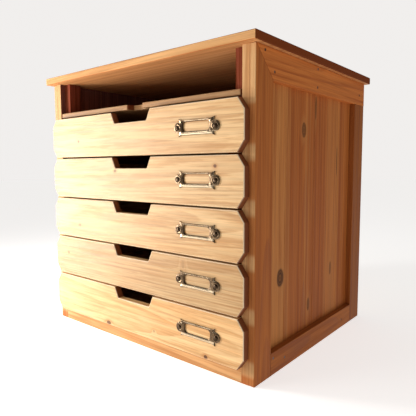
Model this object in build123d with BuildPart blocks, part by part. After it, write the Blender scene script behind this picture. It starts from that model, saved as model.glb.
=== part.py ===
from build123d import *
import os

# Chest of five paper drawers under an open tray, all in solid pine.
# Millimetres. X runs to the right, Y to the back, Z up. The origin is on the floor,
# under the middle of the whole chest.

# ---- Case ----
case_width = 408.0  # over the outer faces of the two side frames
case_depth = 329.0  # front faces of the sides to their back edges
base_height = 20.2  # floor to the lowest drawer front
tray_height = 48.8  # clear height of the open tray over the shelf

# ---- Top board ----
top_thickness = 10.6
top_overhang_front = 10.8
top_overhang_side = 6.4
top_overhang_back = 9.2

# ---- Side frame, laid over a wall of upright planks ----
frame_thickness = 8.4
stile_front_width = 36.8
stile_back_width = 38.6
rail_top_height = 36.8
rail_bottom_height = 29.2
corner_round = 1.5  # upright corners of the case
plank_count = 4
plank_thickness = 10.4
plank_gap = 0.3

# ---- Inner boards ----
base_rail_thickness = 8.0  # the front corner posts stand behind this rail
base_rail_clearance = 2.0  # base rail to the sides of the lowest drawer
bottom_thickness = 7.0
back_thickness = 6.0
post_width = 15.0
post_depth = 20.0
runner_width = 11.0
runner_height = 9.0
cleat_height = 7.0  # strips that carry the shelf

# ---- Shelf ----
shelf_gap = 3.5  # top drawer front to the shelf
shelf_thickness = 6.8
shelf_side_gap = 1.6  # shelf to the planks
shelf_post_gap = 0.3  # shelf to the posts that it is notched round
shelf_round = 2.4  # upright corners along the front edge
thumb_width = 30.0
thumb_depth = 12.0

# ---- Drawer fronts ----
drawer_count = 5
front_height = 62.3
front_thickness = 10.2
front_gap = 2.3  # one front to the next
front_inset = 8.6  # end of a front, in from the side of the case
closing_gap = 0.2  # front to the case when the drawer is shut
dog_ear_width = 9.5
dog_ear_height = 13.5
notch_top_width = 82.0
notch_bottom_width = 67.0
notch_depth = 15.8
notch_round = 2.5

# ---- Drawer boxes ----
box_lift = 6.0  # lower edge of the front to the lower edge of the sides
box_drop = 8.3  # upper edge of the front to the upper edge of the sides
side_thickness = 10.0
side_play = 1.0  # drawer side to the posts
slide_play = 0.3  # drawer side to its runner
back_play = 5.0  # drawer to the back panel
drawer_back_thickness = 8.0
housing_depth = 4.0  # sides into the front, back into the sides, panel into both
panel_thickness = 4.0
panel_lift = 5.0  # lower edge of the sides to the panel
panel_play = 0.3

# ---- Label holders ----
holder_width = 55.0
holder_height = 19.0
holder_thickness = 2.2
holder_from_edge = 71.0  # centre of the holder to the end of the drawer front
holder_rise = 1.2  # centre of the holder over the middle of the drawer front
tip_run = 4.0
tip_reach = 1.6  # pointed corners
ear_radius = 6.0
ear_reach = 9.0
window_width = 41.8
window_height = 12.0
window_rise = 1.0
window_round = 4.0
window_bevel = 0.8
card_lap = 2.2  # edge of a card behind the frame
card_slot = 0.8
dish_radius = 4.3
dish_depth = 0.7

# ---- Pins and nails ----
shank_play = 0.1  # each side of a square shank
hole_end_play = 0.5
pin_shank = 1.7
pin_length = 8.0  # under the head
pin_head_radius = 2.9
pin_crown_radius = 1.6
pin_head_height = 1.5
nail_shank = 1.5
nail_length = 15.0  # with its head
nail_head = 3.0
nail_head_height = 0.8
nail_set = 0.2  # head below the face of the wood
mitre_nails = ((18.4, 5.2), (39.8, 26.6))  # back from the front and down from the top
middle_nail_offset = 10.7  # ahead of the middle of the rail
middle_nail_drops = (4.4, 29.2)
rear_nail_inset = 21.2
base_nails = ((6.4, 21.6), (34.8, 13.2))  # in from the end of the rail and up
back_nail_rows = 5

# ---- Edges ----
edge_ease = 0.8
arris_ease = 0.4
tolerance = 0.01

# ---- Places worked out from the sizes above ----
drawer_pitch = front_height + front_gap
shelf_bottom = base_height + drawer_count * drawer_pitch - front_gap + shelf_gap
shelf_top = shelf_bottom + shelf_thickness
case_height = shelf_top + tray_height

pin_head_reach = holder_thickness - dish_depth + pin_head_height
front_reach = closing_gap + front_thickness + max(holder_thickness, pin_head_reach)
front_overhang = max(front_reach, top_overhang_front)
case_front = (front_overhang - case_depth - top_overhang_back) / 2
case_back = case_front + case_depth
drawer_plane = case_front - closing_gap
front_face = drawer_plane - front_thickness

wall_outer = case_width / 2 - frame_thickness
wall_inner = wall_outer - plank_thickness
post_inner = wall_inner - post_width
post_front = case_front + base_rail_thickness
panel_front = case_back - back_thickness
runner_inner = post_inner - runner_width
box_half = post_inner - side_play
box_inner = box_half - side_thickness

box_height = front_height - box_lift - box_drop
box_back = panel_front - back_play
first_runner_top = base_height + box_lift - slide_play
bottom_top = first_runner_top - runner_height
front_half = case_width / 2 - front_inset
holder_x = front_half - holder_from_edge
pin_x = holder_width / 2 + ear_reach - ear_radius


def save(piece, name):
    """Label a finished piece and write its file."""
    piece.part.label = name
    export_step(piece.part, f"parts/{name}.step")


def save_pair(piece, name):
    """Write a right-hand piece, and its mirror image as the left-hand one."""
    save(piece, f"{name}_right")
    with BuildPart() as twin:
        mirror(piece.part, about=Plane.YZ)
    save(twin, f"{name}_left")


def facing_front(y, z=0.0, x=0.0):
    """A plane seen from the front: its own x runs to the right and its y up."""
    return Plane(origin=(x, y, z), x_dir=(1, 0, 0), z_dir=(0, -1, 0))


def facing_right(x):
    """A plane seen from the right: its own x runs to the back and its y up."""
    return Plane(origin=(x, 0, 0), x_dir=(0, 1, 0), z_dir=(1, 0, 0))


def board(x, y, z):
    """A square-edged board between a low and a high limit on each axis."""
    with BuildPart() as piece:
        with BuildSketch(Plane.XY.offset(z[0])):
            with Locations(((x[0] + x[1]) / 2, (y[0] + y[1]) / 2)):
                Rectangle(x[1] - x[0], y[1] - y[0])
        extrude(amount=z[1] - z[0])
    return piece


# ---- Nails, and the holes that they stand in ----
def frame_nail_places():
    """Nail places on a side frame, as distance to the back and height."""
    places = [(case_front + y, case_height - drop) for y, drop in mitre_nails]
    middle = case_front + case_depth / 2 - middle_nail_offset
    places += [(middle, case_height - drop) for drop in middle_nail_drops]
    places += [(case_back - rear_nail_inset, case_height - rear_nail_inset)]
    rail_end = case_front + stile_front_width
    places += [(rail_end + inset, z) for inset, z in base_nails]
    inset, z = base_nails[-1]
    return places + [(case_back - stile_back_width - inset, z)]


def back_nail_places():
    """Nail places up both edges of the back panel, over the corner posts."""
    step = (case_height - bottom_top) / back_nail_rows
    heights = [bottom_top + step * (row + 0.5) for row in range(back_nail_rows)]
    x = wall_inner - post_width / 2
    return [(side * x, z) for side in (-1, 1) for z in heights]


def cut_nail(crown, spread=0.0, end_play=0.0):
    """A square cut nail down from its crown, or with a spread the hole for it."""
    shoulder = -nail_set - nail_head_height
    tip = -nail_set - nail_length - end_play
    with BuildPart() as nail:
        with BuildSketch(Plane.XY.offset(crown)):
            Rectangle(nail_head + 2 * spread, nail_head + 2 * spread)
        extrude(amount=shoulder - crown)
        with BuildSketch(Plane.XY.offset(shoulder)):
            Rectangle(nail_shank + 2 * spread, nail_shank + 2 * spread)
        extrude(amount=tip - shoulder)
    return nail


def nails_at(planes):
    """Nails driven in against the normals of the given planes."""
    nail = cut_nail(crown=-nail_set)
    with BuildPart() as nails:
        with Locations(*planes):
            add(nail.part)
    return nails


def nail_holes_at(planes):
    """The holes for those nails, open at the face of the wood."""
    hole = cut_nail(crown=0.0, spread=shank_play, end_play=hole_end_play)
    with BuildPart() as holes:
        with Locations(*planes):
            add(hole.part)
    return holes


def frame_nail_planes():
    """Where nails enter the right side frame."""
    return [
        Plane(origin=(case_width / 2, y, z), z_dir=(1, 0, 0))
        for y, z in frame_nail_places()
    ]


def back_nail_planes():
    """Where nails enter the back panel."""
    return [Plane(origin=(x, case_back, z), z_dir=(0, 1, 0)) for x, z in back_nail_places()]


def make_nails(frame_planes, back_planes):
    """Nails in both side frames and along the edges of the back panel."""
    right_nails = nails_at(frame_planes)
    with BuildPart() as frame_nails:
        add(right_nails.part)
        mirror(about=Plane.YZ)
    save(frame_nails, "frame_nails")
    save(nails_at(back_planes), "back_nails")


# ---- Case ----
def make_top_board():
    """The top board stands out past the front, the sides and the back."""
    low_y = case_front - top_overhang_front
    high_y = case_back + top_overhang_back
    half = case_width / 2 + top_overhang_side
    blank = board((-half, half), (low_y, high_y), (case_height, case_height + top_thickness))
    with BuildPart() as top_board:
        add(blank.part)
        chamfer(top_board.edges(), length=edge_ease)
    save(top_board, "top_board")


def make_side_planks(holes):
    """Upright planks edge to edge, with eased arrises that show as fine V joints."""
    pitch = (case_depth + plank_gap) / plank_count
    with BuildPart() as planks:
        with BuildSketch(Plane.XY):
            with Locations(((wall_inner + wall_outer) / 2, (case_front + case_back) / 2)):
                with GridLocations(pitch, pitch, 1, plank_count):
                    Rectangle(plank_thickness, pitch - plank_gap)
        extrude(amount=case_height)
        outer = planks.faces().filter_by(Axis.X).group_by(Axis.X)[-1]
        chamfer(outer.edges().filter_by(Axis.Z), length=arris_ease)
        add(holes.part, mode=Mode.SUBTRACT)
    save_pair(planks, "side_planks")


def frame_board(outline, holes, round_end=None):
    """A board of the side frame: eased round its face, and rounded at a case corner."""
    with BuildPart() as piece:
        with BuildSketch(facing_right(wall_outer)):
            with BuildLine():
                Polyline(*outline, close=True)
            make_face()
        extrude(amount=frame_thickness)
        face_edges = piece.faces().sort_by(Axis.X)[-1].edges()
        if round_end is not None:
            corner = face_edges.filter_by(Axis.Z).sort_by(Axis.Y)[round_end]
            fillet(corner, radius=corner_round)
            face_edges = piece.faces().sort_by(Axis.X)[-1].edges()
            kept = face_edges.filter_by(Axis.Z).sort_by(Axis.Y)[round_end]
            face_edges = ShapeList(edge for edge in face_edges if edge != kept)
        chamfer(face_edges, length=arris_ease)
        add(holes.part, mode=Mode.SUBTRACT)
    return piece


def make_side_frame(holes):
    """Mitred at the front top corner. The top rail runs over the back stile, and the
    bottom rail stands between the stiles."""
    front_in = case_front + stile_front_width
    back_in = case_back - stile_back_width
    rail_low = case_height - rail_top_height
    front_stile = (
        (case_front, 0),
        (front_in, 0),
        (front_in, rail_low),
        (case_front, case_height),
    )
    back_stile = ((back_in, 0), (case_back, 0), (case_back, rail_low), (back_in, rail_low))
    top_rail = (
        (case_front, case_height),
        (front_in, rail_low),
        (case_back, rail_low),
        (case_back, case_height),
    )
    bottom_rail = (
        (front_in, 0),
        (back_in, 0),
        (back_in, rail_bottom_height),
        (front_in, rail_bottom_height),
    )
    save_pair(frame_board(front_stile, holes, round_end=0), "front_stile")
    save_pair(frame_board(back_stile, holes, round_end=-1), "back_stile")
    save_pair(frame_board(top_rail, holes), "side_top_rail")
    save_pair(frame_board(bottom_rail, holes), "side_bottom_rail")


def make_base(holes):
    """Base rail, bottom board and back panel between the two plank walls."""
    across = (-wall_inner, wall_inner)
    rail_top = base_height + box_lift - base_rail_clearance
    save(board(across, (case_front, post_front), (0, rail_top)), "base_rail")
    bottom = (bottom_top - bottom_thickness, bottom_top)
    save(board(across, (post_front, panel_front), bottom), "bottom_board")
    blank = board(across, (panel_front, case_back), (0, case_height))
    with BuildPart() as back_panel:
        add(blank.part)
        add(holes.part, mode=Mode.SUBTRACT)
    save(back_panel, "back_panel")


def make_posts(holes):
    """Four corner posts stand on the bottom board and carry runners and top."""
    across = (post_inner, wall_inner)
    upright = (bottom_top, case_height)
    front_post = board(across, (post_front, post_front + post_depth), upright)
    save_pair(front_post, "front_post")
    blank = board(across, (panel_front - post_depth, panel_front), upright)
    with BuildPart() as back_post:
        add(blank.part)
        add(holes.part, mode=Mode.SUBTRACT)
    save_pair(back_post, "back_post")


def make_runners():
    """A runner under each drawer side and a cleat under the shelf, on the posts."""
    tops = [first_runner_top + step * drawer_pitch for step in range(drawer_count)]
    strips = [(top, runner_height) for top in tops] + [(shelf_bottom, cleat_height)]
    middle = ((runner_inner + post_inner) / 2, (post_front + panel_front) / 2)
    with BuildPart() as runners:
        for top, height in strips:
            with BuildSketch(Plane.XY.offset(top)):
                with Locations(middle):
                    Rectangle(runner_width, panel_front - post_front)
            extrude(amount=-height)
    save_pair(runners, "runners")


def make_shelf():
    """The shelf is notched round the posts, with a thumb notch in its front edge."""
    half = wall_inner - shelf_side_gap
    depth = panel_front - case_front
    post_cut = wall_inner - post_inner + shelf_post_gap
    with BuildPart() as shelf:
        with BuildSketch(Plane.XY.offset(shelf_bottom)) as outline:
            with Locations((0, case_front)):
                Rectangle(2 * half, depth, align=(Align.CENTER, Align.MIN))
                Rectangle(
                    thumb_width,
                    thumb_depth,
                    align=(Align.CENTER, Align.MIN),
                    mode=Mode.SUBTRACT,
                )
            front_corners = outline.vertices().group_by(Axis.Y)[0]
            fillet(front_corners, radius=shelf_round)
            front_post = post_front + post_depth / 2
            back_post = panel_front - post_depth / 2
            places = [(side * wall_inner, y) for side in (-1, 1) for y in (front_post, back_post)]
            with Locations(*places):
                Rectangle(2 * post_cut, post_depth + 2 * shelf_post_gap, mode=Mode.SUBTRACT)
        extrude(amount=shelf_thickness)
    save(shelf, "shelf")


# ---- Drawers ----
def front_outline():
    """Right half of a drawer front from its lower middle: dog ears and finger notch."""
    floor = front_height - notch_depth
    ear = front_half - dog_ear_width
    return [
        (0, 0),
        (ear, 0),
        (front_half, dog_ear_height),
        (front_half, front_height - dog_ear_height),
        (ear, front_height),
        (notch_top_width / 2, front_height),
        (notch_bottom_width / 2, floor),
        (0, floor),
    ]


def make_drawer_front(name, low):
    """A front board with clipped corners, a finger notch, and housings at the back."""
    panel_low = box_lift + panel_lift
    side_middle = (box_half + box_inner) / 2
    with BuildPart() as front:
        with BuildSketch(facing_front(drawer_plane, low)) as outline:
            with BuildLine():
                Polyline(*front_outline())
                mirror(about=Plane.YZ)
            make_face()
            corners = outline.vertices().filter_by_position(
                Axis.X, -notch_bottom_width / 2 - tolerance, notch_bottom_width / 2 + tolerance
            )
            fillet(corners.filter_by(lambda corner: corner.Y > tolerance), radius=notch_round)
        extrude(amount=front_thickness)
        chamfer(front.faces().sort_by(Axis.Y)[0].edges(), length=edge_ease)
        with BuildSketch(facing_front(drawer_plane, low)):
            with Locations((-side_middle, box_lift), (side_middle, box_lift)):
                Rectangle(side_thickness, box_height, align=(Align.CENTER, Align.MIN))
            with Locations((0, panel_low)):
                Rectangle(
                    2 * box_inner,
                    panel_thickness + panel_play,
                    align=(Align.CENTER, Align.MIN),
                )
        extrude(amount=housing_depth, mode=Mode.SUBTRACT)
        with BuildSketch(facing_front(front_face, low + front_height / 2 + holder_rise, holder_x)):
            with Locations((-pin_x, 0), (pin_x, 0)):
                Rectangle(pin_shank + 2 * shank_play, pin_shank + 2 * shank_play)
        pin_bite = pin_length - holder_thickness + dish_depth
        extrude(amount=-pin_bite - hole_end_play, mode=Mode.SUBTRACT)
    save(front, f"{name}_front")


def make_drawer_sides(name, low):
    """Sides grooved for the bottom panel and rebated at the rear for the back."""
    start = drawer_plane - housing_depth
    panel_low = low + box_lift + panel_lift
    upright = (low + box_lift, low + box_lift + box_height)
    groove = (panel_low, panel_low + panel_thickness + panel_play)
    blank = board((box_inner, box_half), (start, box_back), upright)
    with BuildPart() as side:
        add(blank.part)
        with BuildSketch(facing_right(box_inner)):
            with Locations((start, groove[0])):
                Rectangle(box_back - start, groove[1] - groove[0], align=(Align.MIN, Align.MIN))
            with Locations((box_back, groove[0])):
                Rectangle(drawer_back_thickness, box_height, align=(Align.MAX, Align.MIN))
        extrude(amount=housing_depth, mode=Mode.SUBTRACT)
    save_pair(side, f"{name}_side")


def make_drawer_back_and_bottom(name, low):
    """The bottom panel slides into its grooves, and the back stands on it."""
    panel_low = low + box_lift + panel_lift
    panel_top = panel_low + panel_thickness
    panel_half = box_inner + housing_depth - panel_play
    back_half = box_inner + housing_depth
    panel_start = drawer_plane - housing_depth + panel_play
    bottom = board((-panel_half, panel_half), (panel_start, box_back), (panel_low, panel_top))
    save(bottom, f"{name}_bottom")
    back = board(
        (-back_half, back_half),
        (box_back - drawer_back_thickness, box_back),
        (panel_top, low + box_lift + box_height),
    )
    save(back, f"{name}_back")


def make_label_holder(name, low):
    """A cast frame: pointed corners, dished ears, a bevelled window and a card slot."""
    half_width = holder_width / 2
    half_height = holder_height / 2
    tip = (half_width + tip_reach, half_height + tip_reach)
    middle = low + front_height / 2 + holder_rise
    plane = facing_front(front_face, middle, holder_x)
    with BuildPart() as holder:
        with BuildSketch(plane):
            with BuildLine():
                Line((0, half_height), (half_width - tip_run, half_height))
                Line((half_width - tip_run, half_height), tip)
                Line(tip, (half_width, ear_radius))
                TangentArc((half_width + ear_reach, 0), (half_width, ear_radius), tangent=(0, 1))
                mirror(about=Plane.XZ)
                mirror(about=Plane.YZ)
            make_face()
        extrude(amount=holder_thickness)
        with BuildSketch(plane):
            with Locations((0, window_rise)):
                RectangleRounded(window_width, window_height, window_round)
        extrude(amount=holder_thickness, mode=Mode.SUBTRACT)
        rims = holder.faces().sort_by(Axis.Y)[0]
        chamfer(rims.inner_wires()[0].edges(), length=window_bevel)
        with BuildSketch(plane):
            with Locations((0, window_rise - window_height / 2 - card_lap)):
                Rectangle(
                    window_width + 2 * card_lap,
                    holder_height,
                    align=(Align.CENTER, Align.MIN),
                )
        extrude(amount=card_slot, mode=Mode.SUBTRACT)
        with BuildSketch(plane.offset(holder_thickness)):
            with Locations((-pin_x, 0), (pin_x, 0)):
                Circle(dish_radius)
        extrude(amount=-dish_depth, mode=Mode.SUBTRACT)
        with BuildSketch(plane):
            with Locations((-pin_x, 0), (pin_x, 0)):
                Rectangle(pin_shank + 2 * shank_play, pin_shank + 2 * shank_play)
        extrude(amount=holder_thickness, mode=Mode.SUBTRACT)
    save(holder, f"{name}_label_holder")


def make_label_pins(name, low):
    """Two round-headed pins seat in the dishes and go on into the drawer front."""
    on_the_seat = (Align.CENTER, Align.CENTER, Align.MIN)
    with BuildPart() as pin:
        Cone(pin_head_radius, pin_crown_radius, pin_head_height, align=on_the_seat)
        with BuildSketch(Plane.XY):
            Rectangle(pin_shank, pin_shank)
        extrude(amount=-pin_length)
    middle = low + front_height / 2 + holder_rise
    seat = front_face - holder_thickness + dish_depth
    with BuildPart() as pins:
        with Locations(facing_front(seat, middle, holder_x)):
            with Locations((-pin_x, 0), (pin_x, 0)):
                add(pin.part)
    save(pins, f"{name}_label_pins")


def make_drawer(number):
    """One drawer. Drawer 1 is the top one."""
    name = f"drawer_{number}"
    low = base_height + (drawer_count - number) * drawer_pitch
    make_drawer_front(name, low)
    make_drawer_sides(name, low)
    make_drawer_back_and_bottom(name, low)
    make_label_holder(name, low)
    make_label_pins(name, low)


def main():
    """Build and write every piece of the chest."""
    os.makedirs("parts", exist_ok=True)
    frame_planes = frame_nail_planes()
    back_planes = back_nail_planes()
    frame_holes = nail_holes_at(frame_planes)
    back_holes = nail_holes_at(back_planes)
    make_top_board()
    make_side_planks(frame_holes)
    make_side_frame(frame_holes)
    make_base(back_holes)
    make_posts(back_holes)
    make_runners()
    make_shelf()
    make_nails(frame_planes, back_planes)
    for number in range(1, drawer_count + 1):
        make_drawer(number)


main()
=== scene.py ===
import math
import random

import bpy
import numpy as np
from bpy.props import FloatProperty, FloatVectorProperty, PointerProperty
from bpy.types import Operator, Panel, PropertyGroup
from mathutils import Matrix, Vector


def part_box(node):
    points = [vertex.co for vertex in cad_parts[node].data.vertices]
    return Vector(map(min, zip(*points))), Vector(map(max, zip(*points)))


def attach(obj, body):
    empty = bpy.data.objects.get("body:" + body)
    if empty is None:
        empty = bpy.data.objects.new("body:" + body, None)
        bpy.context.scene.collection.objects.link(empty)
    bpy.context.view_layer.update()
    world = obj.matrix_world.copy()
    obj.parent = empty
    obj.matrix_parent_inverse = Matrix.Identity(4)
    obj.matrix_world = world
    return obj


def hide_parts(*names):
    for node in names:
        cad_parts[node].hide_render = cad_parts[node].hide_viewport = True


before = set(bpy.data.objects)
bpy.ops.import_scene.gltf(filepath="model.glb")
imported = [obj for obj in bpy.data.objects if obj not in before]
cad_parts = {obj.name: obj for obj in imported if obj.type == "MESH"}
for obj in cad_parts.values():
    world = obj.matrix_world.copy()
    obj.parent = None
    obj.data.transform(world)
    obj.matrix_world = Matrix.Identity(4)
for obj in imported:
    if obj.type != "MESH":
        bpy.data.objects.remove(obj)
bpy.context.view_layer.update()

bl_info = {
    "name": "Paper drawer chest",
    "version": (1, 0, 0),
    "blender": (4, 5, 0),
    "location": "3D View > Sidebar > Chest",
    "description": "Pine, brass, light and camera for a chest of five paper drawers",
    "category": "Object",
}

MM = 0.001
SIDES = ("left", "right")
DRAWERS = tuple(f"drawer_{number}" for number in range(1, 6))

# ---- Places on the chest, from the frame ----
case_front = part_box("front_stile_right")[0].y
shelf_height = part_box("shelf")[0].z
joint_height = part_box("drawer_1_front")[0].z  # where drawer 1 meets drawer 2
drawer_pitch = joint_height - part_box("drawer_2_front")[0].z


# ---- Shader maths ----
class Term:
    """A socket of a finish. Sums of terms add Math nodes to the finish."""

    def __init__(self, finish, socket):
        self.finish = finish
        self.socket = socket

    def __add__(self, other):
        return self.finish.maths("ADD", self, other)

    def __sub__(self, other):
        return self.finish.maths("SUBTRACT", self, other)

    def __rsub__(self, other):
        return self.finish.maths("SUBTRACT", other, self)

    def __mul__(self, other):
        return self.finish.maths("MULTIPLY", self, other)

    def __truediv__(self, other):
        return self.finish.maths("DIVIDE", self, other)

    __radd__ = __add__
    __rmul__ = __mul__


class Finish:
    """One material, built node by node from expressions."""

    def __init__(self, name):
        self.material = bpy.data.materials.new(name)
        self.material.use_nodes = True
        self.tree = self.material.node_tree
        self.tree.nodes.clear()

    def node(self, kind, settings=None, sockets=None, output=0):
        """Add a node: first its settings, then the values or links of its sockets."""
        made = self.tree.nodes.new(kind)
        for name, value in (settings or {}).items():
            setattr(made, name, value)
        for key, value in (sockets or {}).items():
            if isinstance(value, Term):
                self.tree.links.new(value.socket, made.inputs[key])
            else:
                made.inputs[key].default_value = value
        return Term(self, made.outputs[output]) if made.outputs else made

    def maths(self, operation, *values):
        """A Math node of one, two or three values."""
        return self.node("ShaderNodeMath", {"operation": operation}, dict(enumerate(values)))

    def mix(self, factor, low, high, blend="MIX"):
        """Blend two colours. Sockets 0, 6 and 7 of the node are its factor and colours."""
        settings = {"data_type": "RGBA", "blend_type": blend}
        sockets = {0: factor, 6: solid(low), 7: solid(high)}
        return self.node("ShaderNodeMix", settings, sockets, output=2)

    def step(self, value, low, high):
        """A smooth step that goes from 0 at low to 1 at high."""
        settings = {"interpolation_type": "SMOOTHSTEP"}
        return self.node("ShaderNodeMapRange", settings, {0: value, 1: low, 2: high})

    def place(self):
        """The point on the piece, in metres, in the chest's own frame."""
        return self.node("ShaderNodeTexCoord", output="Object")

    def split(self, vector):
        """The x, y and z of a vector."""
        made = self.node("ShaderNodeSeparateXYZ", sockets={0: vector}).socket.node
        return [Term(self, socket) for socket in made.outputs]

    def join(self, x, y, z):
        """A vector from its x, y and z."""
        return self.node("ShaderNodeCombineXYZ", sockets={0: x, 1: y, 2: z})

    def noise(self, vector, scale, detail=3.0, roughness=0.5):
        """Soft noise round 0.5."""
        sockets = {
            "Vector": vector,
            "Scale": scale,
            "Detail": detail,
            "Roughness": roughness,
        }
        return self.node("ShaderNodeTexNoise", sockets=sockets)

    def surface(self, colour, roughness, height, relief, edge_radius, **constants):
        """Join the finish to its surface. Height, from 0 to 1, stands relief metres proud,
        over edges that are eased to edge_radius."""
        eased = self.eased_normal(edge_radius)
        bump = self.node(
            "ShaderNodeBump",
            sockets={"Strength": 1.0, "Distance": relief, "Height": height, "Normal": eased},
        )
        sockets = {"Base Color": colour, "Roughness": roughness, "Normal": bump}
        sockets.update({name.replace("_", " "): value for name, value in constants.items()})
        shader = self.node("ShaderNodeBsdfPrincipled", sockets=sockets)
        self.node("ShaderNodeOutputMaterial", sockets={"Surface": shader})
        return self.material

    def eased_normal(self, radius):
        """The normal, turned evenly round the edges of a piece."""
        return self.node("ShaderNodeBevel", {"samples": 4}, {"Radius": radius})

    def edge_mask(self, radius, sharpness):
        """1 along the arrises of a piece and 0 on its flat faces."""
        flat = self.node("ShaderNodeNewGeometry", output="True Normal")
        settings = {"operation": "DOT_PRODUCT"}
        sockets = {0: self.eased_normal(radius), 1: flat}
        facing = self.node("ShaderNodeVectorMath", settings, sockets, output="Value")
        return self.maths("MINIMUM", (1.0 - facing) * sharpness, 1.0)


def solid(colour):
    """A colour socket's four numbers from three, or the link as it is."""
    return colour if isinstance(colour, Term) else (*colour, 1.0)


# ---- Pine ----
WAX = {"front": 3.6, "inner": 0.0}  # wax on the palettes that have more or less than 1
FACING = (0.6, 0.95)  # part of a normal on an axis that starts to count, and counts fully
ENDWISE = (0.35, 0.6)  # the same for the sawn ends, low enough to take in the slopes of the fronts' ears
EARS = (0.35, 0.9)  # where the cosine lets painted light onto the case between the ears of the fronts
EARS_SHARE, LEAST_SHARE = 0.8, 0.15  # how much paler the painted light makes it there, and all over
SHELF_SHADOW_BLEND = 10 * MM  # how softly the painted shadow under the shelf gives way to the lit front
UNDER_SHARE, UPPER_SHARE = 0.6, 0.5  # how far faces that look down or up take painted light
HEART_ACROSS = (-0.03, 0.03)  # from the middle of a board to the heart of its log
HEART_DEEP = (0.035, 0.07)
LOG_TAPER = (0.01, 0.03)
LOG_WANDER = 30 * MM
RING_WARP = 1.6 * MM
STREAK_RAGGED = 12 * MM
STREAK_SOFT = 3 * MM
SLOW_SCALES = (1.0, 0.07)  # across and along the grain
FIBRE_SCALES = (520.0, 9.0)
LINE_SCALES = (170.0, 9.0)
CASE_LINE_SCALES = (170.0, 3.0)  # longer lines


class Knot:
    """A knot or a stained patch on a face: its place along and across the grain, its
    radius, how dark it is from 0 to 1, and how much longer it is along the grain."""

    def __init__(self, along, across, radius, dark, stretch=1.25):
        self.along = along * MM
        self.across = across * MM
        self.radius = radius * MM
        self.dark = dark
        self.stretch = stretch


class Board:
    """How a node was sawn: the axis its grain follows, the axis that its face looks
    along, and which palette it takes. Its marks are knots, streaks of paler sapwood (or
    of darker heartwood, with a strength under 0), how bold and wide its rings are, its
    tone, how round its edges are, how thick its wax is, whether its faces take painted
    light and shade from the lit palette, and the axis and the sign of the face inside the case
    that takes painted shade.
    """

    def __init__(self, node, grain, face, palette, **marks):
        self.node = node
        self.grain = "XYZ".index(grain)
        self.face = "XYZ".index(face)
        self.cross = 3 - self.grain - self.face
        self.palette = palette
        self.knots = marks.get("knots", ())
        self.streaks = marks.get("streaks", ())
        self.bold = marks.get("bold", 1.0)
        self.ring = marks.get("ring", 1.0)
        self.tone = marks.get("tone", 1.0)
        self.edge = marks.get("edge", 1.0)
        self.pale_front = marks.get("pale_front", False)
        self.dark_face = marks.get("dark_face")
        self.wax = marks.get("wax", WAX.get(palette, 1.0))
        self.draw = random.Random(node)
        low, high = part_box(node)
        self.middle = (low + high) / 2

    def pith(self):
        """The heart of the log, as a distance across the board and behind its face."""
        return self.draw.uniform(*HEART_ACROSS), self.draw.uniform(*HEART_DEEP)


def ring_radius(finish, board, along, across, deep, wander):
    """Distance from the heart of the log, which wanders. The log tapers along the grain,
    and its rings bulge round each knot by a bell curve of the distance to it."""
    across_pith, deep_pith = board.pith()
    across_heart = board.middle[board.cross] + across_pith
    deep_heart = board.middle[board.face] + deep_pith
    u = across - across_heart + (wander - 0.5) * LOG_WANDER
    v = deep - deep_heart
    radius = finish.maths("SQRT", u * u + v * v) + along * board.draw.uniform(*LOG_TAPER)
    for knot in board.knots:
        reach = knot_distance(finish, knot, along, across) / 2.0
        bulge = finish.maths("EXPONENT", reach * reach * -1.0)
        radius = radius + bulge * (knot.radius * 0.8)
    return radius


def knot_distance(finish, knot, along, across):
    """Distance to the middle of a knot, counted in its own radius."""
    a = (along - knot.along) / (knot.radius * knot.stretch)
    b = (across - knot.across) / knot.radius
    return finish.maths("SQRT", a * a + b * b)


def facing(finish, part, sign=1.0):
    """1 on the faces that look along an axis, from the normal's part on it and a sign."""
    return finish.step(part * sign, *FACING)


def painted_light_share(finish, normal, height):
    """How far a board of the case takes the lit palette, which paints light and shade on it.
    Its front is lit over the shelf; under it lies the painted shadow of the drawer fronts,
    with painted light between the ears of two drawer fronts, by a cosine of the height.
    The faces that look down and up take painted light in part."""
    over = finish.step(height, shelf_height - SHELF_SHADOW_BLEND, shelf_height + SHELF_SHADOW_BLEND)
    ears = finish.maths("COSINE", (height - joint_height) * (2 * math.pi / drawer_pitch))
    ears = finish.step(ears, *EARS) * EARS_SHARE + LEAST_SHARE
    front = facing(finish, normal[1], -1.0) * finish.maths("MAXIMUM", over, ears)
    under = facing(finish, normal[2], -1.0) * UNDER_SHARE
    upper = facing(finish, normal[2]) * UPPER_SHARE
    return finish.maths("MAXIMUM", finish.maths("MAXIMUM", front, under), upper)


def blend(finish, share, first, second):
    """Blend two palettes, colour by colour."""
    return [finish.mix(share, low, high) for low, high in zip(first, second)]


def board_palette(finish, board, normal, height, settings):
    """Early wood, late wood and stain of a board, with painted light and shade blended in, and how
    far a face takes painted shade inside the case.
    """
    colours = settings.palette(board.palette)
    # Painted light and shade: the lit edge palette over the board's own palette.
    if board.pale_front:
        share = painted_light_share(finish, normal, height)
        colours = blend(finish, share, colours, settings.palette("edge"))
    inside = 0.0
    # Painted shade: faces inside the case take the dark palette of the walls inside.
    if board.dark_face:
        axis, sign = board.dark_face
        inside = facing(finish, normal["XYZ".index(axis)], sign)
        colours = blend(finish, inside, colours, settings.palette("stained"))
    return colours, inside


def drawn_out(finish, board, place, scales, shift=0.0):
    """The point scaled across and along the grain, and moved by shift. Noise of it is
    drawn out along the grain."""
    scale = [scales[0]] * 3
    scale[board.grain] = scales[1]
    sockets = {0: place, 1: scale, 2: (shift, shift, shift)}
    return finish.node("ShaderNodeVectorMath", {"operation": "MULTIPLY_ADD"}, sockets)


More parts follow.
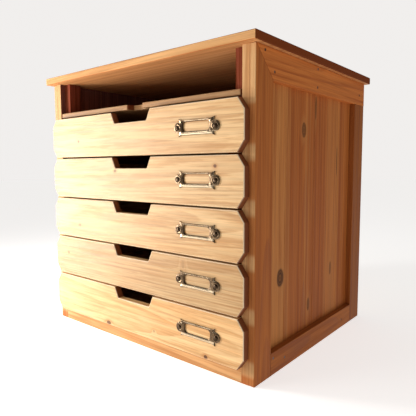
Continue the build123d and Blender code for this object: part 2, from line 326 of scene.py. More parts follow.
def late_wood_share(finish, board, radius, warp, shift, ring_width):
    """How much late wood there is, up to a little over 1. Each ring darkens slowly
    outwards and ends sharply, and noise makes the rings uneven in width and strength."""
    phase = (radius + warp * RING_WARP) / (ring_width * board.ring)
    spread = phase + finish.noise(finish.join(phase, shift, 0.0), 0.35, detail=1.0) * 2.4
    share = finish.maths("FRACT", spread)
    late_wood = finish.step(share, 0.25, 0.9) * (1.0 - finish.step(share, 0.93, 1.0))
    strength = finish.noise(finish.join(spread, 0.0, shift), 0.8, detail=0.0)
    return late_wood * (strength * 1.2 + 0.2)


def grain_noises(finish, board, place, shift):
    """Fibres, pores and lines along the grain."""
    threads = drawn_out(finish, board, place, FIBRE_SCALES)
    fibre = finish.noise(threads, 1.0, detail=4.0, roughness=0.6)
    pores = finish.step(finish.noise(threads, 0.45, detail=2.0), 0.66, 0.78)
    scales = CASE_LINE_SCALES if board.palette == "case" else LINE_SCALES
    lines = drawn_out(finish, board, place, scales, shift)
    return fibre, pores, finish.noise(lines, 1.0, detail=5.0, roughness=0.7)


def streak_share(finish, ragged, start, end):
    """1 inside a streak, with soft edges."""
    begun = finish.step(ragged, start * MM - STREAK_SOFT, start * MM + STREAK_SOFT)
    return begun - finish.step(ragged, end * MM - STREAK_SOFT, end * MM + STREAK_SOFT)


def wear_and_highlight_share(finish, normal, end_grain, settings):
    """Where hands rub a drawer front, and where a painted highlight lies on it: its arrises, and
    its chamfers but the lower one, which the light doesn't catch.
    """
    arris = finish.edge_mask(settings.edge_round * 1.5, 9.0) * (1.0 - end_grain)
    forward = normal[1] * -1.0
    chamfer = finish.step(forward, 0.5, 0.65) - finish.step(forward, 0.8, 0.95)
    return finish.maths("MAXIMUM", arris, chamfer * finish.step(normal[2], -0.5, -0.2))


def pine(board, settings):
    """Sawn and waxed pine: growth rings with dark late wood, honey stain, streaks, lines
    and fibres along the grain, pores, knots, red sawn ends darkened further as painted shade,
    and fronts rubbed pale at their edges, partly a painted highlight. Faces of the case take
    painted light and shade from their palettes."""
    finish = Finish(f"pine_{board.node}")
    place = finish.place()
    point = finish.split(place)
    normal = finish.split(finish.node("ShaderNodeNewGeometry", output="True Normal"))
    end_grain = finish.step(finish.maths("ABSOLUTE", normal[board.grain]), *ENDWISE)
    (early, late, stain), inside = board_palette(finish, board, normal, point[2], settings)
    along, across, deep = point[board.grain], point[board.cross], point[board.face]
    shift = board.draw.uniform(0.0, 9.0)

    slow = drawn_out(finish, board, place, SLOW_SCALES, shift)
    wander = finish.noise(slow, 7.0, detail=2.0)
    warp = finish.noise(slow, 60.0, detail=3.0)
    drift = finish.noise(slow, 16.0, detail=4.0, roughness=0.6)
    radius = ring_radius(finish, board, along, across, deep, wander)
    late_wood = late_wood_share(finish, board, radius, warp, shift, settings.ring_width)
    fibre, pores, lines = grain_noises(finish, board, place, shift)

    colour = finish.mix(late_wood * (0.85 * board.bold), early, late)
    colour = finish.mix(finish.step(drift, 0.42, 0.72) * 0.45, colour, stain)
    for start, end, strength in board.streaks:
        ragged = across + (drift - 0.5) * STREAK_RAGGED
        share = streak_share(finish, ragged, start, end) * abs(strength) * (1.0 - inside)
        colour = finish.mix(share, colour, settings.sapwood if strength > 0 else late)
    colour = finish.mix(finish.step(lines, 0.46, 0.62) * (0.2 + 0.55 * board.bold), colour, late)
    colour = finish.mix((1.0 - finish.step(lines, 0.34, 0.48)) * 0.5, colour, early)
    grey = finish.maths("MULTIPLY_ADD", fibre, 0.75 * board.tone, 0.635 * board.tone)
    colour = finish.mix(1.0, colour, finish.join(grey, grey, grey), "MULTIPLY")
    colour = finish.mix(pores * 0.3, colour, stain)
    for knot in board.knots:
        colour = knot_colour(finish, knot, along, across, warp, colour, settings)
    # Sawn ends: end grain is darker, and this deep red is also painted shade on the shaded ends.
    colour = finish.mix(end_grain * 0.94, colour, settings.end_grain)
    # Painted highlight, in part wear: the fronts' arrises and upper and side chamfers are made
    # pale where light catches them.
    if board.palette == "front":
        rubbed = wear_and_highlight_share(finish, normal, end_grain, settings)
        colour = finish.mix(rubbed * 0.85, colour, settings.rubbed)

    matt = 0.63 - 0.015 * board.wax
    return finish.surface(
        colour,
        matt - late_wood * 0.12 + (fibre - 0.5) * 0.2,
        late_wood * 0.35 + fibre * 0.5 - pores * 0.6,
        settings.grain_relief,
        settings.edge_round * board.edge,
        Specular_IOR_Level=settings.sheen * board.wax,
    )


def knot_colour(finish, knot, along, across, warp, colour, settings):
    """A knot: a dark rim, rings of its own inside, and a stained halo round it."""
    distance = knot_distance(finish, knot, along, across) + (warp - 0.5) * 0.9
    halo = (1.0 - finish.step(distance, 0.9, 2.6)) * (0.55 * knot.dark)
    core = (1.0 - finish.step(distance, 0.75, 1.1)) * knot.dark
    rings = finish.maths("SINE", distance * 15.0) * 0.4 + 0.45
    rim = finish.step(distance, 0.55, 0.9)
    heart = finish.mix(finish.maths("MAXIMUM", rings, rim), settings.knot, settings.bark)
    return finish.mix(core, finish.mix(halo, colour, settings.halo), heart)


def paint(node, material):
    """Give a node of the frame its material."""
    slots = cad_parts[node].data.materials
    slots.clear()
    slots.append(material)


# ---- Settings ----
def length(name, description, default):
    """A size in metres."""
    return FloatProperty(
        name=name, description=description, default=default, min=0.0, unit="LENGTH"
    )


def level(name, description, default):
    """A plain number from 0 up."""
    return FloatProperty(name=name, description=description, default=default, min=0.0)


def power(name, description, default):
    """The power of a lamp in watts."""
    return FloatProperty(
        name=name, description=description, default=default, min=0.0, unit="POWER"
    )


def hue(name, description, default):
    """A colour."""
    return FloatVectorProperty(
        name=name,
        description=description,
        default=default,
        size=3,
        min=0.0,
        max=1.0,
        subtype="COLOR",
    )


class PineSettings(PropertyGroup):
    """Colours and grain of the wood."""

    front_early: hue("Front early wood", "Pale wood of the drawer fronts", (0.71, 0.465, 0.225))
    front_late: hue("Front late wood", "Rings of the drawer fronts", (0.46, 0.21, 0.058))
    front_stain: hue("Front stain", "Honey patches on the drawer fronts", (0.56, 0.26, 0.065))
    # Case palette: the case wood darker and redder than its lit edge palette, as painted shade.
    case_early: hue("Case early wood", "Pale wood of the case", (0.49, 0.155, 0.034))
    case_late: hue("Case late wood", "Rings of the case", (0.30, 0.072, 0.013))
    case_stain: hue("Case stain", "Red patches on the case", (0.37, 0.088, 0.016))
    # Inner palette: the wood inside the case, darkened as painted shade.
    inner_early: hue("Inner early wood", "Pale wood inside the case", (0.25, 0.062, 0.034))
    inner_late: hue("Inner late wood", "Rings inside the case", (0.11, 0.022, 0.007))
    inner_stain: hue("Inner stain", "Dark patches inside the case", (0.14, 0.028, 0.008))
    # These colours are painted shade on the faces that look inside the case.
    stained_early: hue("Stained early wood", "Pale wood of the walls inside", (0.20, 0.066, 0.046))
    stained_late: hue("Stained late wood", "Rings of the walls inside", (0.09, 0.03, 0.021))
    stained_stain: hue("Stained patches", "Dark patches of the walls inside", (0.13, 0.042, 0.029))
    box_early: hue("Box early wood", "Pale wood of the drawer boxes", (0.70, 0.47, 0.29))
    box_late: hue("Box late wood", "Rings of the drawer boxes", (0.52, 0.29, 0.12))
    box_stain: hue("Box stain", "Honey patches on the drawer boxes", (0.58, 0.34, 0.15))
    # Edge palette: the lit copy of the case wood, painted light on the case's front faces.
    edge_early: hue("Edge early wood", "Pale wood of the case's front edges", (0.66, 0.38, 0.17))
    edge_late: hue("Edge late wood", "Rings of the case's front edges", (0.48, 0.22, 0.08))
    edge_stain: hue("Edge stain", "Honey patches on the case's front edges", (0.52, 0.25, 0.09))
    # End grain is darker in the wood, and this colour is deepened further as painted shade.
    end_grain: hue("End grain", "Sawn ends of the boards", (0.17, 0.034, 0.006))
    # Pale colour of worn arrises, which also serves as a painted highlight on the fronts.
    rubbed: hue("Rubbed edge", "Arrises of the fronts, rubbed by hands", (0.92, 0.74, 0.5))
    sapwood: hue("Sapwood", "Paler streaks in the case", (0.60, 0.25, 0.07))
    knot: hue("Knot", "Middle of a knot", (0.22, 0.075, 0.016))
    bark: hue("Knot rim", "Dark rim of a knot", (0.035, 0.011, 0.004))
    halo: hue("Knot halo", "Wood round a knot", (0.50, 0.20, 0.055))
    ring_width: length("Ring width", "One year of growth", 3.4 * MM)
    grain_relief: length("Grain relief", "Height of the grain over the pores", 0.16 * MM)
    edge_round: length("Edge round", "How far the arrises are worn round", 0.9 * MM)
    sheen: level("Sheen", "Shine of the wax on the wood", 0.1)

    def palette(self, name):
        """Early wood, late wood and stain of one group of boards."""
        return [getattr(self, f"{name}_{part}") for part in ("early", "late", "stain")]


class BrassSettings(PropertyGroup):
    """Sizes and colours of the label holders, their pins and the nails."""

    # Bright brass: wear on the edges, and painted highlight on the edges and the lower bar.
    bright: hue("Rubbed brass", "Brass edges where hands have rubbed them", (0.85, 0.68, 0.46))
    worn: hue("Worn brass", "Brown brass on the flats", (0.24, 0.16, 0.09))
    dark: hue("Aged brass", "Brown tarnish in the hollows", (0.05, 0.03, 0.017))
    steel: hue("Nail steel", "Dull steel of the nails", (0.16, 0.14, 0.13))
    rust: hue("Nail rust", "Brown rust on the nails", (0.10, 0.045, 0.02))
    window_bevel: length("Window bevel", "Sloping edge round the window", 0.9 * MM)
    crown: length("Crown", "How far the bars bulge", 0.5 * MM)
    edge_round: length("Holder edge", "Rounding of the outer edge", 0.7 * MM)
    dish_radius: length("Dish radius", "Hollow round each pin", 4.3 * MM)
    dish_depth: length("Dish depth", "Depth of that hollow", 0.7 * MM)
    pin_shank: length("Pin shank", "Radius of a pin in the wood", 0.85 * MM)


class StageSettings(PropertyGroup):
    """Light, floor and camera."""

    floor: hue("Floor", "Colour of the floor", (0.86, 0.86, 0.86))
    glow: level("Floor glow", "Light from under the floor", 0.64)
    sky: level("Sky", "Strength of the light all round", 0.27)
    sky_colour: hue("Sky colour", "Colour of the light all round", (1.0, 0.93, 0.86))
    backdrop: hue("Backdrop", "Colour behind the chest", (0.88, 0.86, 0.845))
    lamps: hue("Lamps", "Colour of the lamps", (1.0, 0.98, 0.95))
    key: power("Key light", "Power of the main lamp", 6.0)
    fill: power("Fill light", "Power of the low lamp", 4.4)
    top: power("Top light", "Power of the high lamp", 2.0)
    lens: FloatProperty(
        name="Lens", description="Focal length", default=37.79, min=1.0, unit="CAMERA"
    )


# ---- Pieces ----
FRONT_TONES = (0.96, 0.94, 0.94, 0.80, 1.13)  # of the drawers, from the top one down
# Painted shade: the left post darker, the right lighter, by how light falls into the tray.
POST_SHADE_TONES = {"left": 0.85, "right": 1.05}
INWARDS = {"left": 1.0, "right": -1.0}  # which way along X the inside of a wall looks


def front_knots():
    """Knots on the drawer fronts, as millimetres to the right and up."""
    return {
        "drawer_1": (Knot(-123.1, 302.9, 1.9, 0.75),),
        "drawer_2": (Knot(-34.0, 256.8, 2.1, 0.75), Knot(153.2, 263.2, 1.9, 0.9)),
        "drawer_3": (Knot(-126.1, 169.7, 1.9, 0.6),),
        "drawer_4": (Knot(-160.1, 121.3, 1.7, 0.7), Knot(99.8, 137.3, 6.0, 0.25, 0.5)),
        "drawer_5": (
            Knot(-57.2, 23.4, 3.2, 0.9, 1.6),
            Knot(137.3, 23.1, 2.4, 1.0),
            Knot(43.4, 34.2, 2.0, 0.4),
        ),
    }


def plank_knots():
    """Knots on the side planks, as millimetres up and back."""
    back = case_front / MM
    return (
        Knot(117.7, back + 71.6, 8.5, 0.95, 1.6),
        Knot(311.9, back + 131.5, 6.0, 0.75, 1.7),
        Knot(102.7, back + 226.7, 4.0, 0.6, 3.0),
        Knot(62.8, back + 152.8, 4.0, 0.7, 2.5),
        Knot(345.0, back + 167.0, 2.2, 0.9, 9.0),
        Knot(270.0, back + 243.0, 1.6, 0.8, 16.0),
    )


def plank_streaks():
    """Streaks on the side planks: start and end in millimetres, and strength."""
    back = case_front / MM
    streaks = (
        (44, 94, 0.75),
        (94, 130, -0.2),
        (138, 142, 0.6),
        (148, 151, 0.5),
        (154, 172, -0.3),
        (205, 251, 0.4),
        (253, 258, -0.8),
    )
    return [(back + start, back + end, strength) for start, end, strength in streaks]


class CHEST_OT_case(Operator):
    """Finish the boards of the case"""

    bl_idname = "chest.case"
    bl_label = "Case"

    def execute(self, context):
        settings = context.scene.chest_pine
        boards = [
            Board("top_board", "X", "Z", "case", edge=1.6, pale_front=True, wax=0.5),
            # The base rail and the shelf take the lit edge palette all over: painted light.
            Board("base_rail", "X", "Y", "edge"),
            Board("shelf", "X", "Z", "edge", edge=2.5, tone=0.7, wax=2.0),
            Board("bottom_board", "X", "Z", "inner"),
            # Painted shade on the back panel's face inside the case.
            Board("back_panel", "Z", "Y", "box", ring=3.0, bold=0.7, dark_face=("Y", -1.0)),
        ]
        planks = {"knots": plank_knots(), "streaks": plank_streaks(), "bold": 0.7, "tone": 0.97}
        stile = {"bold": 0.6, "tone": 0.93, "pale_front": True}
        for side in SIDES:
            # Painted light on the fronts of the side planks, painted shade on their faces inside
            # the case.
            painted_light_and_shade = {"pale_front": True, "dark_face": ("X", INWARDS[side])}
            boards += [
                Board(f"side_planks_{side}", "Z", "X", "case", **planks, **painted_light_and_shade),
                Board(f"front_stile_{side}", "Z", "X", "case", **stile),
                # The back stiles' low tone is painted shade: the side grows darker towards the
                # back.
                Board(f"back_stile_{side}", "Z", "X", "case", bold=0.6, tone=0.7),
                Board(f"side_top_rail_{side}", "Y", "X", "case", bold=0.7, tone=1.2),
                Board(f"side_bottom_rail_{side}", "Y", "X", "case", bold=0.7, tone=0.85),
                Board(f"front_post_{side}", "Z", "Y", "inner", tone=POST_SHADE_TONES[side]),
                Board(f"back_post_{side}", "Z", "Y", "inner"),
                Board(f"runners_{side}", "Y", "X", "inner"),
            ]
        for board in boards:
            paint(board.node, pine(board, settings))
        return {"FINISHED"}


class CHEST_OT_drawers(Operator):
    """Finish the fronts and the boxes of the drawers"""

    bl_idname = "chest.drawers"
    bl_label = "Drawers"

    def execute(self, context):
        settings = context.scene.chest_pine
        knots = front_knots()
        for drawer, tone in zip(DRAWERS, FRONT_TONES):
            marks = {"knots": knots[drawer], "bold": 0.7, "tone": tone}
            boards = [
                Board(f"{drawer}_front", "X", "Y", "front", **marks),
                Board(f"{drawer}_side_left", "Y", "X", "box"),
                Board(f"{drawer}_side_right", "Y", "X", "box"),
                Board(f"{drawer}_back", "X", "Y", "box"),
                Board(f"{drawer}_bottom", "X", "Z", "box", ring=3.0, bold=0.7),
            ]
            for board in boards:
                paint(board.node, pine(board, settings))
        return {"FINISHED"}


def new_piece(name, points, faces, body, material, node):
    """A mesh piece at the origin that rides on a body and stands for a node."""
    mesh = bpy.data.meshes.new(name)
    mesh.from_pydata(points.reshape(-1, 3).tolist(), [], faces)
    mesh.polygons.foreach_set("use_smooth", np.ones(len(faces), bool))
    mesh.materials.append(material)
    mesh.validate()
    piece = bpy.data.objects.new(name, mesh)
    bpy.context.scene.collection.objects.link(piece)
    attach(piece, body)
    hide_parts(node)


def grid_faces(rows, columns, close_rows=False):
    """Quads over a grid whose columns close on themselves."""
    last = rows if close_rows else rows - 1
    row, column = np.meshgrid(np.arange(last), np.arange(columns), indexing="ij")
    below = (row + 1) % rows
    beside = (column + 1) % columns
    corners = [
        row * columns + column,
        row * columns + beside,
        below * columns + beside,
        below * columns + column,
    ]
    return np.stack(corners, axis=-1).reshape(-1, 4)


def even_steps(points, count):
    """A line of points set out again at even steps of its length, without its end."""
    points = np.asarray(points, float)
    run = np.concatenate([[0.0], np.cumsum(np.linalg.norm(np.diff(points, axis=0), axis=1))])
    wanted = np.linspace(0.0, run[-1], count, endpoint=False)
    return np.stack([np.interp(wanted, run, points[:, axis]) for axis in (0, 1)], axis=1)


def arc(centre, radius, start, end, count=24):
    """Points on a circle between two angles in degrees."""
    angle = np.radians(np.linspace(start, end, count))
    return np.stack([centre[0] + radius * np.cos(angle), centre[1] + radius * np.sin(angle)], 1)


HOLDER_STEPS = 64  # along each of the holder's four sides
EDGE_ROWS = 9  # rows over the round of its outer edge
CROWN_ROWS = 21  # rows over the crown of a bar, with the one where it starts
BEVEL_SHARES = (0.2, 0.5, 0.8, 1.0)  # rows down the window's bevel
PIN_STEPS = 28  # round a pin


class HolderShape:
    """The outline of a label holder, from its node's box and the sizes of its parts."""

    tip_reach = 1.6 * MM
    tip_run = 4.0 * MM
    ear_reach = 9.0 * MM
    ear_radius = 6.0 * MM
    flank_hollow = 0.3 * MM
    bend_hollow = 0.35 * MM
    window = (20.9 * MM, 6.0 * MM)
    window_rise = 1.0 * MM
    window_round = 4.0 * MM
    card_slot = 0.8 * MM
    crown_drop = 0.2 * MM  # from the full thickness down to the top of the crown
    ring_height = 0.15 * MM  # raised ring round each dish
    ring_spread = 0.16

    def __init__(self, node):
        self.low, self.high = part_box(node)
        middle = (self.low + self.high) / 2
        self.centre = (middle.x, middle.z)
        self.half_width = (self.high.x - self.low.x) / 2 - self.ear_reach
        self.half_height = (self.high.z - self.low.z) / 2 - self.tip_reach
        self.pin_x = self.half_width + self.ear_reach - self.ear_radius
        self.thickness = self.high.y - self.low.y

    def outer(self):
        """Right, top, left and bottom sides of the outline. Each tip is drawn out by two
        hollow curves, and each ear is an arc through its end."""
        w, h = self.half_width, self.half_height
        tip = np.array([w + self.tip_reach, h + self.tip_reach])
        share = np.linspace(0.0, 1.0, 12)[:, None]
        flank = tip + (np.array([w, self.ear_radius]) - tip) * share
        flank[:, 0:1] -= self.flank_hollow * np.sin(math.pi * share)
        reach = self.ear_reach
        radius = (reach**2 + self.ear_radius**2) / (2 * reach)
        middle = w + reach - radius
        swing = math.degrees(math.atan2(self.ear_radius, w - middle))
        ear = arc((middle, 0.0), radius, swing, 0.0)
        upper = np.concatenate([flank, ear[1:]])
        right = np.concatenate([upper * (1, -1), upper[::-1][1:]])
        bend = tip + (np.array([w - self.tip_run, h]) - tip) * share
        bend[:, 1:2] -= self.bend_hollow * np.sin(math.pi * share)
        top = np.concatenate([bend, bend[::-1] * (-1, 1)])
        return [right, top, right * (-1, -1), top * (-1, -1)]

    def inner(self, grow):
        """The window's sides, grown outwards. Each runs between the middles of two corners."""
        x, y = self.window[0] + grow, self.window[1] + grow
        r = min(self.window_round + grow, y)
        corner = (x - r, y - r)
        upper = arc(corner, r, 45.0, 0.0, 10)
        right = np.concatenate([upper * (1, -1), upper[::-1]])
        across = arc(corner, r, 45.0, 90.0, 10)
        top = np.concatenate([across, across[::-1] * (-1, 1)])
        sides = [right, top, right * (-1, -1), top * (-1, -1)]
        return [side + (0.0, self.window_rise) for side in sides]


def holder_points(shape, settings):
    """Points of a holder as rows of its cross-section, carried round its four sides.

    Each row lies a share of the way from the outline to the window. Its height is that of
    a quarter round at the outer edge, then of a crown by half a sine wave, then of a
    straight bevel at the window. Round each pin the face sinks into a dish, by the root of
    half a cosine wave, inside a ring raised by a bell curve. The last rows are the back.
    """
    outer = np.concatenate([even_steps(side, HOLDER_STEPS) for side in shape.outer()])
    window = np.concatenate([even_steps(side, HOLDER_STEPS) for side in shape.inner(0.0)])
    bevel = settings.window_bevel
    brim = np.concatenate([even_steps(side, HOLDER_STEPS) for side in shape.inner(bevel)])
    thick = shape.thickness
    crown = settings.crown
    top = thick - crown - shape.crown_drop
    edge = settings.edge_round
    inward = brim - outer
    inward /= np.linalg.norm(inward, axis=1)[:, None]
    rows, heights = [outer], [np.zeros(len(outer))]
    for angle in np.linspace(0.0, math.pi / 2, EDGE_ROWS):
        rows.append(outer + inward * edge * (1 - math.cos(angle)))
        heights.append(np.full(len(outer), top - edge * (1 - math.sin(angle))))
    start = rows[-1]
    for share in np.linspace(0.0, 1.0, CROWN_ROWS)[1:]:
        rows.append(start + (brim - start) * share)
        heights.append(np.full(len(outer), top + crown * math.sin(math.pi * share)))
    for share in BEVEL_SHARES:
        rows.append(brim + (window - brim) * share)
        heights.append(np.full(len(outer), top - bevel * 0.5 * share))
    rows += [window, window * 0.5 + outer * 0.5]
    heights += [np.full(len(outer), shape.card_slot), np.full(len(outer), shape.card_slot)]
    rows.append(window * 0.45 + outer * 0.55)
    heights.append(np.zeros(len(outer)))
    flat, height = np.stack(rows), np.stack(heights)
    for pin_x in (-shape.pin_x, shape.pin_x):
        away = np.hypot(flat[..., 0] - pin_x, flat[..., 1]) / settings.dish_radius
        hollow = np.where(away < 1, 0.5 + 0.5 * np.cos(math.pi * np.clip(away, 0, 1)), 0.0)
        ring = np.exp(-(((away - 1.0) / shape.ring_spread) ** 2))
        raised = shape.ring_height * ring - settings.dish_depth * np.sqrt(hollow)
        height = np.where(height > thick * 0.5, height + raised, height)
    face = shape.high.y
    x = shape.centre[0] + flat[..., 0]
    z = shape.centre[1] + flat[..., 1]
    return np.stack([x, face - height, z], axis=-1)


def pin_shape(place, head_radius, head_height, shank_radius, shank_length):
    """Points and faces of a domed pin, turned about its own axis and closed by a single
    point at each end: a dome that is a quarter of an ellipse, a low rim under it, and a
    straight shank."""
    sweep = np.linspace(0.0, math.pi / 2, 10)[1:]
    dome_radius = head_radius * np.sin(sweep)
    dome_height = head_height * (0.2 + 0.8 * np.cos(sweep))
    radius = np.concatenate([dome_radius, [head_radius, shank_radius, shank_radius]])
    height = np.concatenate([dome_height, [0.0, 0.0, -shank_length]])
    angle = np.linspace(2 * math.pi, 0.0, PIN_STEPS, endpoint=False)
    x = radius[:, None] * np.cos(angle)
    z = radius[:, None] * np.sin(angle)
    y = np.broadcast_to(-height[:, None], x.shape)
    rings = np.stack([x, y, z], axis=-1).reshape(-1, 3)
    ends = [[0.0, -head_height, 0.0], [0.0, shank_length, 0.0]]
    points = np.concatenate([rings, ends]) + np.asarray(place)
    first = np.arange(PIN_STEPS)
    after = (first + 1) % PIN_STEPS
    last_ring = len(rings) - PIN_STEPS
    tip, foot = np.full(PIN_STEPS, len(rings)), np.full(PIN_STEPS, len(rings) + 1)
    faces = grid_faces(len(radius), PIN_STEPS).tolist()
    faces += np.stack([tip, after, first], axis=1).tolist()
    faces += np.stack([foot, last_ring + first, last_ring + after], axis=1).tolist()
    return points, faces


def brass(name, settings, low, high, bar):
    """Antique brass: brown tarnish in the hollows, and bare metal on the raised edges and
    on the lower bar, as wear and as painted highlight. The bar runs between two heights, and under
    it the dark tarnish colour is left as a painted shadow line."""
    finish = Finish(name)
    place = finish.place()
    _, depth, height = finish.split(place)
    relief = finish.step(depth, low, high)
    wear = finish.noise(place, 900.0, detail=4.0, roughness=0.6)
    cloud = finish.noise(place, 160.0, detail=2.0)
    facing = finish.split(finish.node("ShaderNodeNewGeometry", output="Normal"))[1] * -1.0
    raised = finish.step(relief, 0.45, 0.8)
    slope = (1.0 - finish.step(facing, 0.8, 0.98)) * raised
    bare = finish.step(relief * 0.5 + wear * 0.5 + cloud * 0.4, 0.75, 1.15)
    # Bright on the raised slopes: wear, and also a painted highlight.
    rubbed = finish.step(slope * 0.8 + wear * 0.3, 0.5, 0.85)
    rim, sill = bar
    # Painted highlight: the lower bar is made bright all along.
    under = (1.0 - finish.step(height, sill - 0.5 * MM, sill + 0.5 * MM)) * raised
    rubbed = finish.maths("MAXIMUM", rubbed, under * (0.3 + wear * 0.8))
    # Painted shadow: the lowest edge keeps the dark colour, a dark line under the bar.
    rubbed = rubbed * finish.step(height, rim + 0.1 * MM, rim + 1.1 * MM)
    colour = finish.mix(bare, settings.dark, settings.worn)
    colour = finish.mix(rubbed, colour, settings.bright)
    roughness = 0.27 - rubbed * 0.03 + (wear - 0.5) * 0.2
    return finish.surface(
        colour, roughness, wear, 0.05 * MM, settings.edge_round * 0.4, Metallic=1.0
    )


class CHEST_OT_holders(Operator):
    """Model the brass label holders and their pins"""

    bl_idname = "chest.holders"
    bl_label = "Label holders"

    def execute(self, context):
        settings = context.scene.chest_brass
        for drawer in DRAWERS:
            shape = HolderShape(f"{drawer}_label_holder")
            face = shape.high.y
            bar = (shape.centre[1] - shape.half_height, shape.centre[1] - shape.window[1])
            top = face - shape.thickness
            material = brass(f"brass_{drawer}", settings, face, top, bar)
            points = holder_points(shape, settings)
            faces = grid_faces(points.shape[0], points.shape[1], close_rows=True).tolist()
            new_piece(
                f"{drawer}_holder_frame",
                points,
                faces,
                drawer,
                material,
                f"{drawer}_label_holder",
            )
            low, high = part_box(f"{drawer}_label_pins")
            seat = face - shape.thickness + settings.dish_depth
            clouds, nets = [], []
            for side in (-1, 1):
                pin, net = pin_shape(
                    (shape.centre[0] + side * shape.pin_x, seat, shape.centre[1]),
                    (high.z - low.z) / 2,
                    seat - low.y,
                    settings.pin_shank,
                    high.y - seat,
                )
                nets += [[corner + sum(map(len, clouds)) for corner in face] for face in net]
                clouds.append(pin)
            crown = low.y - 0.6 * MM
            pin_material = brass(f"brass_{drawer}_pins", settings, seat, crown, bar)
            new_piece(
                f"{drawer}_holder_pins",
                np.concatenate(clouds),
                nets,
                drawer,
                pin_material,
                f"{drawer}_label_pins",
            )
        return {"FINISHED"}


class CHEST_OT_nails(Operator):
    """Finish the cut nails"""

    bl_idname = "chest.nails"
    bl_label = "Nails"

    def execute(self, context):
        settings = context.scene.chest_brass
        finish = Finish("nail_steel")
        place = finish.place()
        grit = finish.noise(place, 700.0, detail=5.0, roughness=0.65)
        rust = finish.step(finish.noise(place, 90.0, detail=3.0), 0.4, 0.62)
        colour = finish.mix(rust, settings.steel, settings.rust)
        roughness = 0.45 + rust * 0.3 + (grit - 0.5) * 0.15
        steel = finish.surface(colour, roughness, grit, 0.06 * MM, 0.3 * MM, Metallic=0.7)
        for node in ("frame_nails", "back_nails"):
            paint(node, steel)
        return {"FINISHED"}


# ---- Stage ----
FLOOR_REACH = 9.0
FLOOR_STEPS = 96  # round its rim
CAMERA_PLACE = (0.4790, -0.5803, 0.2617)
CAMERA_TURN = 0.6906  # to the left of straight back, in radians
CAMERA_TILT = 0.0930  # down
CAMERA_ROLL = -0.0038
KEY_PLACE = (-0.75, -0.62, 0.36)
KEY_TARGET = (0.0, -0.1, 0.2)
KEY_SIZE = 0.18
FILL_PLACE = (-0.62, -0.5, 0.1)
FILL_TARGET = (-0.1, -0.17, 0.1)
FILL_SIZE = 0.3
TOP_PLACE = (-0.35, -0.75, 0.95)
TOP_TARGET = (0.0, -0.15, 0.2)
TOP_SIZE = 0.5


def floor_material(settings):
    """Pale matt floor with a faint mottle."""
    finish = Finish("floor")
    place = finish.place()
    mottle = finish.noise(place, 3.0, detail=4.0)
    colour = finish.mix(mottle * 0.06, settings.floor, (0.8, 0.8, 0.8))
    return finish.surface(
        colour,
        0.8 + (mottle - 0.5) * 0.1,
        mottle,
        0.2 * MM,
        0.5 * MM,
        Emission_Color=(1.0, 1.0, 1.0, 1.0),
        Emission_Strength=settings.glow,
    )


def make_floor(settings):
    """A round floor: a fan of triangles out to FLOOR_REACH."""
    angle = np.linspace(0.0, 2 * math.pi, FLOOR_STEPS, endpoint=False)
    rim = np.stack([np.cos(angle), np.sin(angle), np.zeros_like(angle)], 1) * FLOOR_REACH
    points = np.concatenate([[[0.0, 0.0, 0.0]], rim])
    first = np.arange(FLOOR_STEPS)
    faces = np.stack([np.zeros_like(first), first + 1, (first + 1) % FLOOR_STEPS + 1], 1)
    mesh = bpy.data.meshes.new("floor")
    mesh.from_pydata(points.tolist(), [], faces.tolist())
    mesh.materials.append(floor_material(settings))
    floor = bpy.data.objects.new("floor", mesh)
    bpy.context.scene.collection.objects.link(floor)


def make_lamp(name, place, target, size, watts, colour):
    """A round soft lamp, out of the camera's sight."""
    lamp = bpy.data.lights.new(name, "AREA")
    lamp.shape = "DISK"
    lamp.size = size
    lamp.energy = watts
    lamp.color = colour
    holder = bpy.data.objects.new(name, lamp)
    holder.location = place
    aim = Vector(target) - Vector(place)
    holder.rotation_euler = aim.to_track_quat("-Z", "Y").to_euler()
    holder.visible_camera = False
    bpy.context.scene.collection.objects.link(holder)


def make_sky(settings):
    """Even, slightly warm light from all round, and a pale backdrop for the camera."""
    world = bpy.data.worlds.new("studio")
    world.use_nodes = True
    tree = world.node_tree
    soft = tree.nodes["Background"]
    soft.inputs["Color"].default_value = (*settings.sky_colour, 1.0)
    soft.inputs["Strength"].default_value = settings.sky
    pale = tree.nodes.new("ShaderNodeBackground")
    pale.inputs["Color"].default_value = (*settings.backdrop, 1.0)
    seen = tree.nodes.new("ShaderNodeLightPath").outputs["Is Camera Ray"]
    choice = tree.nodes.new("ShaderNodeMixShader")
    tree.links.new(seen, choice.inputs[0])
    tree.links.new(soft.outputs[0], choice.inputs[1])
    tree.links.new(pale.outputs[0], choice.inputs[2])
    tree.links.new(choice.outputs[0], tree.nodes["World Output"].inputs["Surface"])
    bpy.context.scene.world = world


def show_plain_colours():
    """Show colours as they are lit, without a film curve over them."""
    bpy.context.scene.view_settings.view_transform = "Standard"


def make_camera(settings):
    """The camera at the right front of the chest, a little over its middle."""
    camera = bpy.data.cameras.new("camera")
    camera.sensor_width = 36.0
    camera.lens = settings.lens
    camera.clip_start = 0.01
    camera.clip_end = 100.0
    holder = bpy.data.objects.new("camera", camera)
    turn = Matrix.Rotation(CAMERA_TURN, 4, "Z")
    tilt = Matrix.Rotation(math.pi / 2 - CAMERA_TILT, 4, "X")
    roll = Matrix.Rotation(CAMERA_ROLL, 4, "Z")
    holder.matrix_world = Matrix.Translation(CAMERA_PLACE) @ turn @ tilt @ roll
    bpy.context.scene.collection.objects.link(holder)
    bpy.context.scene.camera = holder


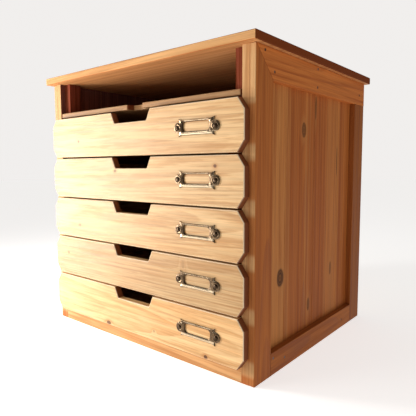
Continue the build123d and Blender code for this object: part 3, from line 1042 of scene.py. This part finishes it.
class CHEST_OT_stage(Operator):
    """Set up the floor, the light and the camera"""

    bl_idname = "chest.stage"
    bl_label = "Stage"

    def execute(self, context):
        settings = context.scene.chest_stage
        make_floor(settings)
        make_sky(settings)
        show_plain_colours()
        lamps = settings.lamps
        make_lamp("key", KEY_PLACE, KEY_TARGET, KEY_SIZE, settings.key, lamps)
        make_lamp("fill", FILL_PLACE, FILL_TARGET, FILL_SIZE, settings.fill, lamps)
        make_lamp("top", TOP_PLACE, TOP_TARGET, TOP_SIZE, settings.top, lamps)
        make_camera(settings)
        return {"FINISHED"}


class CHEST_PT_sidebar(Panel):
    """Buttons for the steps, and the settings they read"""

    bl_label = "Paper drawer chest"
    bl_idname = "CHEST_PT_sidebar"
    bl_space_type = "VIEW_3D"
    bl_region_type = "UI"
    bl_category = "Chest"

    def draw(self, context):
        for operator in OPERATORS:
            self.layout.operator(operator.bl_idname)
        for name in SETTINGS:
            settings = getattr(context.scene, name)
            for prop in settings.bl_rna.properties:
                if prop.identifier in type(settings).__annotations__:
                    self.layout.prop(settings, prop.identifier)


SETTINGS = {
    "chest_pine": PineSettings,
    "chest_brass": BrassSettings,
    "chest_stage": StageSettings,
}
OPERATORS = (
    CHEST_OT_case,
    CHEST_OT_drawers,
    CHEST_OT_holders,
    CHEST_OT_nails,
    CHEST_OT_stage,
)


def register():
    """Add the settings, operators and panel to Blender."""
    for cls in (*SETTINGS.values(), *OPERATORS, CHEST_PT_sidebar):
        bpy.utils.register_class(cls)
    for name, group in SETTINGS.items():
        setattr(bpy.types.Scene, name, PointerProperty(type=group))


def unregister():
    """Take them out again."""
    for name in SETTINGS:
        delattr(bpy.types.Scene, name)
    for cls in reversed((*SETTINGS.values(), *OPERATORS, CHEST_PT_sidebar)):
        bpy.utils.unregister_class(cls)


def main():
    """Build the looks round the frame."""
    register()
    bpy.ops.chest.case()
    bpy.ops.chest.drawers()
    bpy.ops.chest.holders()
    bpy.ops.chest.nails()
    bpy.ops.chest.stage()


if __name__ == "__main__":
    main()
